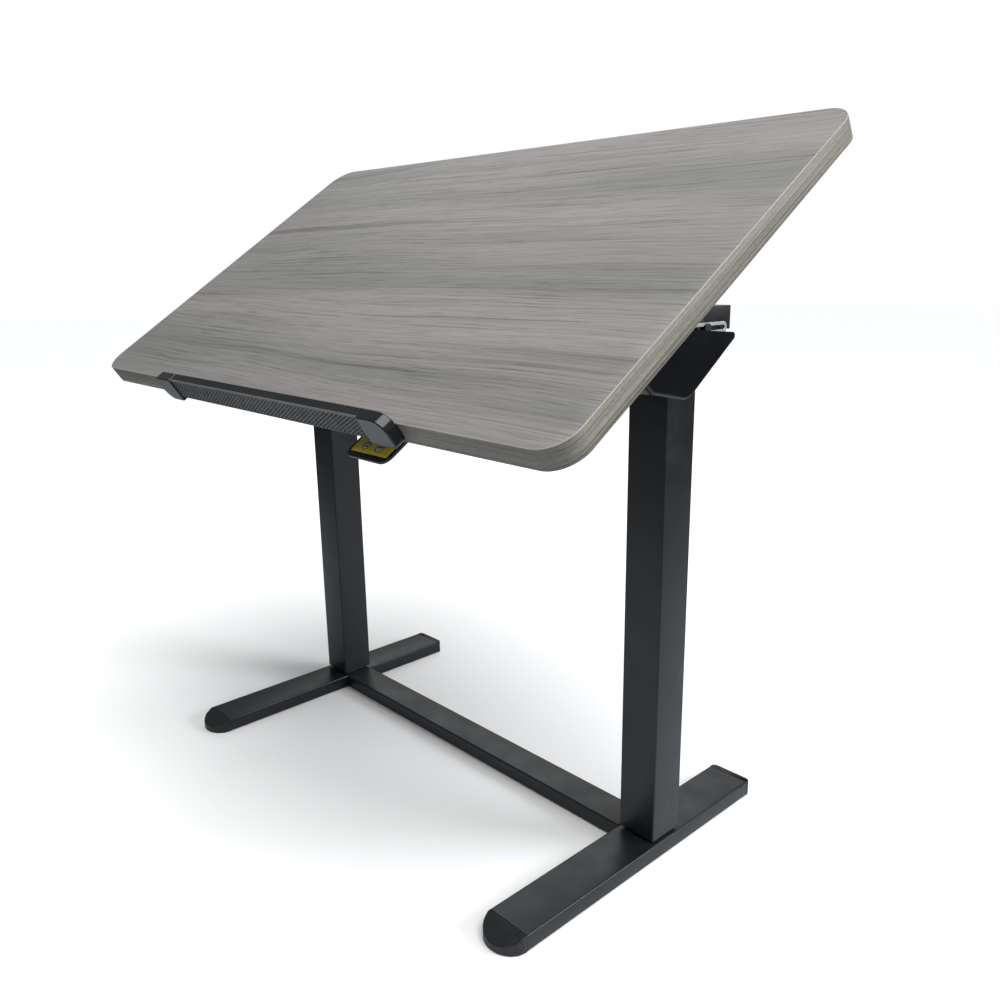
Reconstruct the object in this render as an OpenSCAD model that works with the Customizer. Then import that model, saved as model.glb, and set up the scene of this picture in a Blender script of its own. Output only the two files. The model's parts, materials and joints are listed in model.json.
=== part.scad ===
// Height adjustable standing desk with a tilting top.
// Two telescoping columns on T-feet carry an upper frame. The top is hinged on that frame,
// propped by two stay arms that slide in slotted guides, and a paddle under its front edge
// releases the gas springs inside the columns.
//
// Frame: +X along the top's width, +Y from the user to the rear, +Z up. The origin is on the
// floor, in the middle of the whole desk. The desk is drawn at its lowest height, top tilted.

/* [Top] */
// Width of the top
top_w = 1050; // [1000:5:1200]
// Depth of the top, along its slope
top_d = 600; // [560:5:650]
// Thickness of the top
top_t = 28; // [22:1:32]
// Plan radius of the top's corners
top_corner_r = 38; // [20:1:60]
// Tilt of the top as drawn
tilt = 33.6; // [20:0.1:40]

/* [Columns] */
// Distance between the column centres
column_spacing = 746; // [700:2:760]
// Outer column, side to side
column_w = 59; // [56:1:62]
// Outer column, front to rear
column_d = 58; // [54:1:60]
// Wall of the outer column
column_wall = 2; // [1.5:0.5:2.5]
// Top of the outer column
column_top_z = 690; // [680:1:694]

/* [Base] */
// Width of a foot
foot_w = 66.8; // [64:0.2:70]
// Height of the foot tube
foot_h = 23; // [20:0.5:24]
// Column centre to the seam of the front cap
foot_front = 274.5; // [250:0.5:300]
// Column centre to the rear end of the foot
foot_rear = 209; // [190:1:230]
// Length of the front cap's nose
nose_len = 30; // [20:1:40]
// Height of the glide pads
pad_h = 1; // [1:0.5:3]
// Width of the crossbar, front to rear
crossbar_d = 54.4; // [40:0.2:56]

/* [Tilt hinge] */
// Hinge axis ahead of the column centre
hinge_ahead = 124; // [120:1:128]
// Height of the hinge axis
hinge_z = 717.5; // [717:0.1:718]
// Underside of the top above the hinge axis
hinge_drop = 31; // [31:0.5:33]
// Front edge of the top ahead of the hinge axis, along the slope
hinge_inset = 231.4; // [225:0.1:240]
// Length of a stay arm, pivot to slide pin
stay_len = 108; // [104:1:109]

/* [Ledge] */
// Length of the book ledge
ledge_len = 562; // [500:1:640]
// How far the ledge's middle is to the right of the top's middle
ledge_shift = 9; // [0:1:30]
// Length of a ledge cap
ledge_cap_len = 47; // [30:1:60]

/* [Release paddle] */
// Middle of the paddle, to the right of the top's middle
paddle_x = 229; // [220:1:240]
// Width of the paddle
paddle_w = 78; // [70:1:90]

/* [Hidden] */
$fn = 48;
fit = 0.05;          // radial clearance of a pin that turns in its hole
slip = 0.3;          // gap between faces that slide past each other
eps = 0.5;           // overshoot of a cut past a face

ledge_front = 14;    // ledge front face ahead of the top's front edge
ledge_top = 14.5;    // ledge top above the work surface
ledge_low = -17;     // lower edge of the ledge's front, from the work surface
column_x = column_spacing / 2;
surface_n = hinge_drop + top_t;
// How far the ledge's front corner reaches ahead of the column centre.
front_reach = hinge_ahead + (hinge_inset + ledge_front) * cos(tilt) + (surface_n + ledge_top) * sin(tilt);
column_y = (front_reach - foot_rear) / 2;
hinge_y = column_y - hinge_ahead;

foot_bottom = pad_h;
foot_top = pad_h + foot_h;
foot_wall = 2;
foot_tube_rear = foot_rear - 10;
spigot = 14;

base_plate_size = [52, 110, 8];
base_plate_z = foot_bottom + foot_wall;
base_plate_top = base_plate_z + base_plate_size[2];
bolt_x = 18;
bolt_y = 44;

inner_w = 46;
inner_d = 44;
inner_wall = 1.5;
inner_top_z = 620;
slide_len = 60;
outer_bottom_z = foot_top + 4.5;
collar_len = 32;

cylinder_r = 14;
cylinder_bore_r = 12;
cylinder_top_z = 540;
cylinder_base_t = 6;
gland_t = 12;
rod_r = 5;
rod_bottom_z = 60;
rod_top_z = 697;
piston_r = 11.6;
piston_t = 12;
pin_r = 2;

rail_w = 30;
rail_h = 30;
rail_z = column_top_z + 23.5;
rail_front = -105;
rail_rear = 119;
rail_wall = 2;
rail_cap_t = 2.5;

tray_w = 64;
tray_wall = 2.5;
tray_inner = tray_w / 2 - tray_wall;

beam_d = 40;
beam_h = 20;
beam_z = rail_z + rail_h - beam_h;
beam_plate_t = 3;
beam_plate_d = 70;
beam_ys = [-68, 78];
beam_bolt_dy = 27;

shaft_y = -14;
shaft_z = 706;
shaft_r = 4;
arm_len = 14;
arm_x = 312;

guide_x = 20;
guide_t = 3;
guide_h = 15;
guide_front = 15;
guide_rear = 100;
slot_h = 5.6;
stay_x = 16;
stay_t = 3.5;
stay_h = 16;
slide_pin_r = 2.5;
flange_x = 26;
flange_t = 3;
ear_r = 10;
hinge_pin_r = 4;

band_t = 1.5;
laminate_t = 0.8;
front_v = -hinge_inset;

paddle_t = 3.5;
paddle_front_v = front_v - 28;
paddle_pivot_v = front_v + 38;
paddle_pivot_n = surface_n - 39;
paddle_pin_r = 2.5;
ferrule_v = -168;
cable_r = 2.5;
wire_r = 0.8;
wire_n = paddle_pivot_n - arm_len;
adjuster_x = 246;
adjuster_len = 30;

// Route of the cable under the top: x, along the slope and above the hinge axis.
DESK_ROUTE = [
    [229, -163, 6], [229, -150, 6], [229, -122, 12], [229, -98, 22], [229, -72, 25],
    [229, -48, 22], [230, -26, 11], [235, -9, 2.5], [242, -1, 0.3], [248, 0, 0], [257, 0, 0]
];
// Route of the cable on the frame: x, from the column centre line, and height.
FRAME_ROUTE = [
    [261, -124, 717.5], [276, -124, 717.5], [290, -122, 716], [303, -112, 708],
    [310, -96, 698], [312, -80, 693], [312, -66, 692]
];
ROUTE_STEPS = 4;

black = [0.10, 0.105, 0.115];
satin = [0.20, 0.21, 0.22];
plastic = [0.13, 0.135, 0.14];
zinc = [0.78, 0.79, 0.80];
taupe = [0.60, 0.57, 0.55];

// ---- helpers ----

// Places children on a column, mirrored on the left so that local +X points outwards.
module at_column(side) {
    translate([side * column_x, column_y, 0])
        mirror([side < 0 ? 1 : 0, 0, 0])
            children();
}

// Places children in the top's own frame: +Y up the slope, +Z out of the surface.
module on_top() {
    translate([0, hinge_y, hinge_z])
        rotate([tilt, 0, 0])
            children();
}

// Same, beside a column.
module on_top_at(side) {
    on_top()
        translate([side * column_x, 0, 0])
            mirror([side < 0 ? 1 : 0, 0, 0])
                children();
}

module both_sides() {
    for (side = [-1, 1])
        at_column(side)
            children();
}

// A box centred on X and Y, standing on z.
module block(size, z) {
    translate([-size[0] / 2, -size[1] / 2, z])
        cube(size);
}

// A rectangular tube standing on z.
module upright_tube(w, d, wall, z, length) {
    difference() {
        block([w, d, length], z);
        block([w - 2 * wall, d - 2 * wall, length + 2 * eps], z - eps);
    }
}

// A cylinder along X that starts at x.
module rod_x(r, x, length) {
    translate([x, 0, 0])
        rotate([0, 90, 0])
            cylinder(r = r, h = length);
}

// A cylinder along Y that starts at y.
module rod_y(r, y, length) {
    translate([0, y, 0])
        rotate([-90, 0, 0])
            cylinder(r = r, h = length);
}

// Extrudes an outline drawn in (y, z) along X, from x.
module extrude_x(x, length) {
    translate([x, 0, 0])
        rotate([90, 0, 90])
            linear_extrude(height = length)
                children();
}

function unit(v) = v / norm(v);
function wrap(points, i) = points[(i + len(points)) % len(points)];

// Rounds the corners of an outline. Each corner has its own radius.
function rounded(points, radii, steps = 8) = [
    for (i = [0 : len(points) - 1])
        let (
            here = points[i],
            back = unit(wrap(points, i - 1) - here),
            ahead = unit(wrap(points, i + 1) - here),
            half = acos(back * ahead) / 2,
            r = radii[i],
            centre = here + unit(back + ahead) * r / sin(half),
            start = here + back * r / tan(half) - centre,
            finish = here + ahead * r / tan(half) - centre,
            turn = 180 - 2 * half
        )
        each (r == 0 ? [here] : [
            for (k = [0 : steps])
                centre + (start * sin(turn * (1 - k / steps)) + finish * sin(turn * k / steps)) / sin(turn)
        ])
];

// Moves each edge of a counter-clockwise outline inwards by d.
function inset(points, d) = [
    for (i = [0 : len(points) - 1])
        let (
            here = points[i],
            back = unit(here - wrap(points, i - 1)),
            ahead = unit(wrap(points, i + 1) - here),
            n1 = [-back[1], back[0]],
            n2 = [-ahead[1], ahead[0]]
        )
        here + (n1 + n2) * d / (1 + n1 * n2)
];

// A rounded rectangle from (x0, y0) to (x1, y1).
function rounded_rect(x0, y0, x1, y1, r, steps = 16) =
    rounded([[x0, y0], [x1, y0], [x1, y1], [x0, y1]], [r, r, r, r], steps);

// Catmull-Rom spline through the points, with end points repeated.
function spline(points, steps) = [
    for (i = [0 : len(points) - 2])
        let (
            p0 = points[max(i - 1, 0)],
            p1 = points[i],
            p2 = points[i + 1],
            p3 = points[min(i + 2, len(points) - 1)]
        )
        for (k = [0 : steps - (i == len(points) - 2 ? 0 : 1)])
            let (t = k / steps)
            0.5 * (2 * p1 + (p2 - p0) * t + (2 * p0 - 5 * p1 + 4 * p2 - p3) * t * t
                + (3 * p1 - p0 - 3 * p2 + p3) * t * t * t)
];

// Sweeps a round tube along a path, with its ring axes kept square to the path.
module sweep(path, r, sides = 8) {
    count = len(path);
    rings = [
        for (i = [0 : count - 1])
            let (
                along = unit(path[min(i + 1, count - 1)] - path[max(i - 1, 0)]),
                side = unit(cross(along, abs(along[0]) > 0.8 ? [0, 0.3, 1] : [1, 0, 0])),
                up = cross(side, along)
            )
            [for (k = [0 : sides - 1])
                path[i] + r * (side * cos(360 * k / sides) + up * sin(360 * k / sides))]
    ];
    polyhedron(
        points = [for (ring = rings) each ring],
        faces = concat(
            [[for (k = [0 : sides - 1]) k]],
            [for (i = [0 : count - 2]) for (k = [0 : sides - 1])
                let (a = i * sides + k, b = i * sides + (k + 1) % sides)
                [a, a + sides, b + sides, b]],
            [[for (k = [sides - 1 : -1 : 0]) (count - 1) * sides + k]]
        )
    );
}

// ---- base ----

module foot_at(side) {
    color(black)
        at_column(side)
            difference() {
                translate([-foot_w / 2, -foot_front, foot_bottom])
                    cube([foot_w, foot_front + foot_tube_rear, foot_h]);
                translate([-foot_w / 2 + foot_wall, -foot_front - eps, foot_bottom + foot_wall])
                    cube([foot_w - 2 * foot_wall, foot_front + foot_tube_rear + 2 * eps, foot_h - 2 * foot_wall]);
                block([inner_w, inner_d, 2 * foot_wall], foot_top - foot_wall - eps);
                base_bolts_at_column();
                crossbar_bolt_shanks();
            }
}

// Plan of the front cap: half an ellipse ahead of the seam.
function nose_plan() = [
    for (k = [0 : 24])
        [-foot_w / 2 * cos(180 * k / 24), -foot_front - nose_len * sin(180 * k / 24)]
];

module front_cap_at(side) {
    spigot_w = foot_w - 2 * foot_wall;
    nose_z = 11;
    color(plastic)
        at_column(side) {
            intersection() {
                translate([0, 0, foot_bottom])
                    linear_extrude(height = foot_h)
                        polygon(nose_plan());
                extrude_x(-foot_w / 2 - eps, foot_w + 2 * eps)
                    polygon([
                        [-foot_front, foot_bottom], [-foot_front, foot_top],
                        [-foot_front - 4, foot_top - 0.8], [-foot_front - nose_len - 1, nose_z],
                        [-foot_front - nose_len - 1, foot_bottom]
                    ]);
            }
            translate([-spigot_w / 2, -foot_front, foot_bottom + foot_wall])
                cube([spigot_w, spigot, foot_h - 2 * foot_wall]);
        }
}

module rear_cap_at(side) {
    spigot_w = foot_w - 2 * foot_wall;
    color(plastic)
        at_column(side) {
            translate([0, 0, foot_bottom])
                linear_extrude(height = foot_h)
                    polygon(rounded(
                        [[-foot_w / 2, foot_tube_rear], [foot_w / 2, foot_tube_rear],
                         [foot_w / 2, foot_rear], [-foot_w / 2, foot_rear]], [0, 0, 8, 8]));
            translate([-spigot_w / 2, foot_tube_rear - spigot, foot_bottom + foot_wall])
                cube([spigot_w, spigot, foot_h - 2 * foot_wall]);
        }
}

module glide_pads() {
    color([0.08, 0.08, 0.08])
        both_sides()
            for (y = [-foot_front + 14, foot_tube_rear - 14])
                translate([0, y, 0])
                    cylinder(r = 12, h = pad_h);
}

module crossbar() {
    length = column_spacing - foot_w;
    color(black)
        translate([-length / 2, column_y, 0])
            difference() {
                translate([0, -crossbar_d / 2, foot_bottom])
                    cube([length, crossbar_d, foot_h]);
                translate([6, -crossbar_d / 2 + foot_wall, foot_bottom + foot_wall])
                    cube([length - 12, crossbar_d - 2 * foot_wall, foot_h - 2 * foot_wall]);
                translate([length / 2, 0, 0])
                    for (side = [-1, 1])
                        translate([side * column_x, 0, 0])
                            mirror([side < 0 ? 1 : 0, 0, 0])
                                crossbar_bolt_shanks();
            }
}

// Shanks of the crossbar bolts, through the foot's inner wall into the bar's end plate.
module crossbar_bolt_shanks() {
    for (y = [-18, 18])
        translate([0, y, foot_bottom + foot_h / 2])
            rod_x(3, -foot_w / 2 - 6, 6 + foot_wall);
}

module crossbar_bolts() {
    color(zinc)
        both_sides() {
            crossbar_bolt_shanks();
            for (y = [-18, 18])
                translate([0, y, foot_bottom + foot_h / 2])
                    rod_x(5, -foot_w / 2 + foot_wall, 3.5);
        }
}

// Countersunk bolts, with their heads flush with the underside of the foot.
module base_bolts_at_column() {
    for (x = [-bolt_x, bolt_x], y = [-bolt_y, bolt_y])
        translate([x, y, foot_bottom]) {
            cylinder(r = 4, h = foot_wall + base_plate_size[2]);
            cylinder(r1 = 7, r2 = 4, h = foot_wall);
        }
}

module base_plates() {
    color(black)
        both_sides()
            difference() {
                block(base_plate_size, base_plate_z);
                base_bolts_at_column();
            }
}

module base_plate_bolts() {
    color(zinc)
        both_sides()
            base_bolts_at_column();
}

module inner_column_at(side) {
    color(satin)
        at_column(side)
            upright_tube(inner_w, inner_d, inner_wall, base_plate_top, inner_top_z - base_plate_top);
}

module inner_slides() {
    outer_gap = 2 * column_wall + 2 * slip;
    color([0.85, 0.85, 0.83])
        both_sides()
            difference() {
                block([column_w - outer_gap, column_d - outer_gap, slide_len], inner_top_z - slide_len);
                block([inner_w, inner_d, slide_len + 2 * eps], inner_top_z - slide_len - eps);
            }
}

module gas_cylinder_at(side) {
    color(black)
        at_column(side)
            difference() {
                translate([0, 0, base_plate_top])
                    cylinder(r = cylinder_r, h = cylinder_top_z - base_plate_top);
                translate([0, 0, base_plate_top + cylinder_base_t])
                    cylinder(r = cylinder_bore_r, h = cylinder_top_z - gland_t - base_plate_top - cylinder_base_t);
                translate([0, 0, cylinder_top_z - gland_t - eps])
                    cylinder(r = rod_r + fit, h = gland_t + 2 * eps);
            }
}

// ---- upper frame ----

module outer_column_at(side) {
    color(black)
        at_column(side)
            upright_tube(column_w, column_d, column_wall, outer_bottom_z, column_top_z - outer_bottom_z);
}

module guide_collars() {
    color([0.85, 0.85, 0.83])
        both_sides()
            difference() {
                block([column_w - 2 * column_wall, column_d - 2 * column_wall, collar_len], outer_bottom_z);
                block([inner_w + 2 * slip, inner_d + 2 * slip, collar_len + 2 * eps], outer_bottom_z - eps);
            }
}

module gas_rod_at(side) {
    color([0.85, 0.86, 0.88])
        at_column(side)
            difference() {
                union() {
                    translate([0, 0, rod_bottom_z])
                        cylinder(r = rod_r, h = rod_top_z - rod_bottom_z);
                    translate([0, 0, rod_bottom_z])
                        cylinder(r = piston_r, h = piston_t);
                }
                translate([0, 0, rod_top_z - 21])
                    cylinder(r = pin_r + fit, h = 21 + eps);
            }
}

module release_pins() {
    color(zinc)
        both_sides()
            translate([0, 0, rod_top_z - 17])
                cylinder(r = pin_r, h = 22.55);
}

// Cast block that closes the outer column, clamps the gas rod and carries the release shaft.
module release_block_at(side) {
    plug_h = 18;
    slot_w = 8;
    slot_floor = 694;
    color([0.45, 0.46, 0.47])
        at_column(side)
            difference() {
                union() {
                    block([column_w - 2 * column_wall, column_d - 2 * column_wall, plug_h], column_top_z - plug_h);
                    block([rail_w, column_d - 2 * column_wall, rail_z - column_top_z], column_top_z);
                }
                translate([0, 0, column_top_z - plug_h - eps])
                    cylinder(r = rod_r, h = 2 * plug_h);
                translate([-slot_w / 2, -22, slot_floor])
                    cube([slot_w, 31, rail_z - slot_floor + eps]);
                translate([0, shaft_y, shaft_z])
                    rod_x(shaft_r + fit, -column_w, 2 * column_w);
            }
}

// Side view of the saddle tray, counter-clockwise: y from the column, z.
SADDLE = [[-60, 647], [12, 631.5], [106.5, 704.5], [104, 711], [22, 718.4], [-132, 731.5], [-150, 722]];
SADDLE_R = [8, 14, 4.5, 4, 0, 14, 8];
// The same view of the space inside it, before the wall is taken off, open at the top.
SADDLE_SPACE = [[-60, 647], [12, 631.5], [106.5, 704.5], [106.5, 760], [-150, 760], [-150, 722]];

module saddle_at(side) {
    color(black)
        at_column(side)
            difference() {
                extrude_x(-tray_w / 2, tray_w)
                    polygon(rounded(SADDLE, SADDLE_R));
                extrude_x(-tray_inner, 2 * tray_inner)
                    polygon(rounded(inset(SADDLE_SPACE, tray_wall), [6, 12, 0, 0, 0, 0]));
                block([column_w, column_d, 100], 600);
                translate([-tray_w, beam_ys[0] - beam_d / 2, beam_z])
                    cube([tray_w, beam_d, beam_h]);
                translate([0, -hinge_ahead, hinge_z])
                    rod_x(hinge_pin_r, -tray_w, 2 * tray_w);
                translate([0, shaft_y, shaft_z])
                    rod_x(6.5, -tray_w, tray_w);
            }
}

module side_rail_at(side) {
    length = rail_rear - rail_front - 2 * rail_cap_t;
    color(black)
        at_column(side)
            difference() {
                translate([-rail_w / 2, rail_front + rail_cap_t, rail_z])
                    cube([rail_w, length, rail_h]);
                translate([-rail_w / 2 + rail_wall, rail_front, rail_z + rail_wall])
                    cube([rail_w - 2 * rail_wall, length + 2 * rail_cap_t, rail_h - 2 * rail_wall]);
                beam_bolt_shanks();
            }
}

module rail_end_caps() {
    plug_w = rail_w - 2 * rail_wall;
    plug_h = rail_h - 2 * rail_wall;
    color(plastic)
        both_sides()
            for (end = [0, 1])
                translate([0, end == 0 ? rail_front : rail_rear, rail_z])
                    mirror([0, end, 0]) {
                        translate([-rail_w / 2, 0, 0])
                            cube([rail_w, rail_cap_t, rail_h]);
                        translate([-plug_w / 2, rail_cap_t, rail_wall])
                            cube([plug_w, 4, plug_h]);
                    }
}

module rest_bumpers() {
    color([0.08, 0.08, 0.08])
        both_sides()
            translate([0, 40, rail_z + rail_h])
                cylinder(r = 8, h = hinge_z + hinge_drop - rail_z - rail_h - slip);
}

// A beam between the side rails, with an end plate at each end.
module beam_at(y) {
    half = column_x - rail_w / 2;
    color(black)
        difference() {
            union() {
                translate([-half, column_y + y - beam_d / 2, beam_z])
                    cube([2 * half, beam_d, beam_h]);
                for (end = [-half, half - beam_plate_t])
                    translate([end, column_y + y - beam_plate_d / 2, beam_z])
                        cube([beam_plate_t, beam_plate_d, beam_h]);
            }
            translate([-half + beam_plate_t, column_y + y - beam_d / 2 + rail_wall, beam_z + rail_wall])
                cube([2 * (half - beam_plate_t), beam_d - 2 * rail_wall, beam_h - 2 * rail_wall]);
            both_sides()
                beam_bolt_shanks();
        }
}

// Shanks of the beam bolts, through the end plate and the rail's inner wall.
module beam_bolt_shanks() {
    for (y = beam_ys, dy = [-beam_bolt_dy, beam_bolt_dy])
        translate([0, y + dy, beam_z + beam_h / 2])
            rod_x(3, -rail_w / 2 - beam_plate_t, beam_plate_t + rail_wall + 4);
}

module beam_bolts() {
    color(zinc)
        both_sides() {
            beam_bolt_shanks();
            for (y = beam_ys, dy = [-beam_bolt_dy, beam_bolt_dy])
                translate([0, y + dy, beam_z + beam_h / 2])
                    rod_x(5.5, -rail_w / 2 - beam_plate_t - 4, 4, $fn = 6);
        }
}

module hinge_pins() {
    color(zinc)
        both_sides()
            translate([0, -hinge_ahead, hinge_z]) {
                rod_x(hinge_pin_r, -tray_w / 2 - 2, tray_w + 4);
                rod_x(6.5, -tray_w / 2 - 4, 4);
                rod_x(6.5, tray_w / 2, 3);
            }
}

// Slotted loop that the stay's pin slides in, with two legs down to the tray's side.
module slide_guide_at(side) {
    r = guide_h / 2;
    slot_r = slot_h / 2;
    color(zinc)
        at_column(side)
            difference() {
                translate([0, 0, hinge_z]) {
                    for (y = [guide_front + r, guide_rear - r])
                        translate([0, y, 0])
                            rod_x(r, guide_x, guide_t);
                    translate([guide_x, guide_front + r, -r])
                        cube([guide_t, guide_rear - guide_front - guide_h, guide_h]);
                    for (y = [guide_front + r, guide_rear - 3 * r])
                        translate([guide_x, y, -r - 8]) {
                            cube([guide_t, 10, 10]);
                            cube([tray_inner - guide_x, 10, 3]);
                        }
                }
                translate([0, 0, hinge_z]) {
                    for (y = [guide_front + r, guide_rear - r])
                        translate([0, y, 0])
                            rod_x(slot_r, guide_x - eps, guide_t + 2 * eps);
                    translate([guide_x - eps, guide_front + r, -slot_r])
                        cube([guide_t + 2 * eps, guide_rear - guide_front - guide_h, slot_h]);
                }
            }
}

module shaft_bushes() {
    color([0.85, 0.85, 0.83])
        both_sides()
            translate([0, shaft_y, shaft_z])
                difference() {
                    union() {
                        rod_x(6.5, -tray_w / 2, tray_wall);
                        rod_x(9, -tray_w / 2 - 2, 2);
                    }
                    rod_x(shaft_r + fit, -tray_w, tray_w);
                }
}

module release_shaft() {
    reach = 12;
    color(zinc)
        translate([0, column_y + shaft_y, shaft_z]) {
            rod_x(shaft_r, -column_x - reach, 2 * (column_x + reach));
            for (side = [-1, 1])
                translate([side * column_x - 2.5, 0, -3])
                    cube([5, 18, 6]);
            translate([arm_x - 2.5, -4, -arm_len - 4])
                cube([5, 8, arm_len + 4]);
            translate([arm_x, 0, -arm_len])
                rod_y(wire_r, -30, 30);
        }
}

// Threaded barrel on the hinge axis, where the two cable runs meet, on a lug from the front beam.
module cable_adjuster() {
    lug_x = adjuster_x + 16;
    beam_front = beam_ys[0] - beam_d / 2;
    color(zinc)
        translate([0, column_y, 0])
            difference() {
                union() {
                    translate([0, -hinge_ahead, hinge_z])
                        rod_x(5, adjuster_x, adjuster_len);
                    translate([0, -hinge_ahead, hinge_z])
                        rod_x(9, lug_x, 4);
                    translate([lug_x, -hinge_ahead, hinge_z + 2])
                        cube([4, hinge_ahead + beam_front, 12]);
                    translate([lug_x - 8, beam_front - 2, beam_z + 1])
                        cube([20, 2, 14]);
                }
                translate([0, -hinge_ahead, hinge_z])
                    rod_x(cable_r + 0.5, adjuster_x - eps, adjuster_len + 2 * eps);
            }
}

// Lug under the front beam that stops the frame cable's jacket, with its end ferrule.
module cable_anchor() {
    wire_z = shaft_z - arm_len;
    color(zinc)
        translate([arm_x, column_y, 0])
            difference() {
                union() {
                    translate([-10, -64, wire_z - 7])
                        cube([20, 3, beam_z - wire_z + 7]);
                    translate([0, 0, wire_z])
                        rod_y(3.5, -66, 18);
                }
                translate([0, 0, wire_z])
                    rod_y(1.8, -61, 20);
            }
}

module frame_cable() {
    path = [for (p = FRAME_ROUTE) p + [0, column_y, 0]];
    color([0.06, 0.06, 0.06])
        sweep(spline(path, ROUTE_STEPS), cable_r);
}

// ---- top ----

module top_outline(margin) {
    polygon(rounded_rect(-top_w / 2 + margin, front_v + margin, top_w / 2 - margin,
        front_v + top_d - margin, top_corner_r - margin, 24));
}

module desktop_board() {
    color([0.72, 0.62, 0.48])
        on_top()
            difference() {
                translate([0, 0, hinge_drop])
                    linear_extrude(height = top_t - laminate_t)
                        top_outline(band_t);
                desktop_screw_shanks();
                ledge_screw_shanks();
            }
}

module top_laminate() {
    color(taupe)
        on_top()
            translate([0, 0, surface_n - laminate_t])
                linear_extrude(height = laminate_t)
                    top_outline(band_t);
}

module edge_band() {
    color([0.52, 0.50, 0.44])
        on_top()
            difference() {
                translate([0, 0, hinge_drop])
                    linear_extrude(height = top_t)
                        top_outline(0);
                translate([0, 0, hinge_drop - eps])
                    linear_extrude(height = top_t + 2 * eps)
                        top_outline(band_t);
                ledge_screw_shanks();
            }
}

// Where the bracket screws go: beside each column, then on the paddle bracket and the clips.
function bracket_screws() = [for (v = [-12, 50, 112], x = [-18, 12]) [x, v]];
function clip_points() = [[paddle_x + 9, -72], [paddle_x + 9, -104]];
function paddle_screws() = [[paddle_x - 30, front_v + 52], [paddle_x + 30, front_v + 52]];

module desktop_screw_shanks() {
    for (side = [-1, 1], p = bracket_screws())
        translate([side * (column_x + p[0]), p[1], hinge_drop - flange_t])
            cylinder(r = 2, h = flange_t + 16);
    for (p = concat(paddle_screws(), [clip_points()[0]]))
        translate([p[0], p[1], hinge_drop - flange_t])
            cylinder(r = 2, h = flange_t + 16);
}

module desktop_screws() {
    head_h = 2;
    color(zinc)
        on_top() {
            desktop_screw_shanks();
            for (side = [-1, 1], p = bracket_screws())
                translate([side * (column_x + p[0]), p[1], hinge_drop - flange_t - head_h])
                    cylinder(r = 4.2, h = head_h);
            for (p = concat(paddle_screws(), [clip_points()[0]]))
                translate([p[0], p[1], hinge_drop - flange_t - head_h])
                    cylinder(r = 4.2, h = head_h);
            ledge_screw_shanks();
            for (x = [-180, 0, 180])
                translate([ledge_shift + x, 0, surface_n - 9])
                    rod_y(4, front_v - 4, 2);
        }
}

module ledge_screw_shanks() {
    for (x = [-180, 0, 180])
        translate([ledge_shift + x, 0, surface_n - 9])
            rod_y(2, front_v - 2, 26);
}

// Folded steel bracket under the top: a web, an inner ear, and an outer flange with two ears.
module hinge_bracket_at(side) {
    ear_h = hinge_drop - flange_t;
    color(black)
        on_top_at(side)
            difference() {
                union() {
                    translate([-flange_x - flange_t, -20, ear_h])
                        cube([2 * (flange_x + flange_t), stay_len + 34, flange_t]);
                    rod_x(ear_r, flange_x, flange_t);
                    rod_x(ear_r, -flange_x - flange_t, flange_t);
                    translate([0, stay_len, 0])
                        rod_x(ear_r, flange_x, flange_t);
                    for (x = [-flange_x - flange_t, flange_x])
                        translate([x, -ear_r, 0])
                            cube([flange_t, 2 * ear_r, ear_h]);
                    translate([flange_x, stay_len - ear_r, 0])
                        cube([flange_t, 2 * ear_r, ear_h]);
                    translate([flange_x, 0, 14])
                        cube([flange_t, stay_len, ear_h - 14]);
                }
                rod_x(hinge_pin_r + fit, -tray_w, 2 * tray_w);
                translate([0, stay_len, 0])
                    rod_x(slide_pin_r, 0, tray_w);
                for (p = bracket_screws())
                    translate([p[0], p[1], ear_h - eps])
                        cylinder(r = 2, h = flange_t + 2 * eps);
            }
}

module stay_pivot_pins() {
    color(zinc)
        for (side = [-1, 1])
            on_top_at(side)
                translate([0, stay_len, 0])
                    rod_x(slide_pin_r, stay_x - 0.6, flange_x + flange_t - stay_x + 0.6);
}

// Profile of the ledge rail: y from the front edge of the top, z from the work surface.
module ledge_profile(grow, drop) {
    skin = 1.2;
    front = -ledge_front + skin - grow;
    high = ledge_top - skin + grow;
    low = ledge_low - drop;
    polygon([[0, low], [0, high], [front + 4, high], [front, high - 4], [front, low]]);
}

// Channel inside the rail and the caps.
module ledge_channel() {
    low = ledge_low + 2;
    high = ledge_top - 3.2;
    polygon([[-2, low], [-2, high], [-8, high], [-10.8, high - 2.8], [-10.8, low]]);
}

module ledge_rail() {
    length = ledge_len - 2 * ledge_cap_len;
    color([0.26, 0.27, 0.28])
        on_top()
            translate([ledge_shift - length / 2, front_v, surface_n])
                difference() {
                    extrude_x(0, length)
                        ledge_profile(0, 0);
                    extrude_x(-eps, length + 2 * eps)
                        ledge_channel();
                    translate([length / 2 - ledge_shift, -front_v, -surface_n])
                        ledge_screw_shanks();
                }
}

// Ribbed grip strip over the rail's front and top.
module ledge_strip() {
    length = ledge_len - 2 * ledge_cap_len;
    color([0.20, 0.20, 0.21])
        on_top()
            translate([ledge_shift - length / 2, front_v, surface_n])
                difference() {
                    extrude_x(0, length)
                        ledge_profile(1.2, 0);
                    extrude_x(-eps, length + 2 * eps)
                        ledge_profile(0, eps);
                }
}

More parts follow.
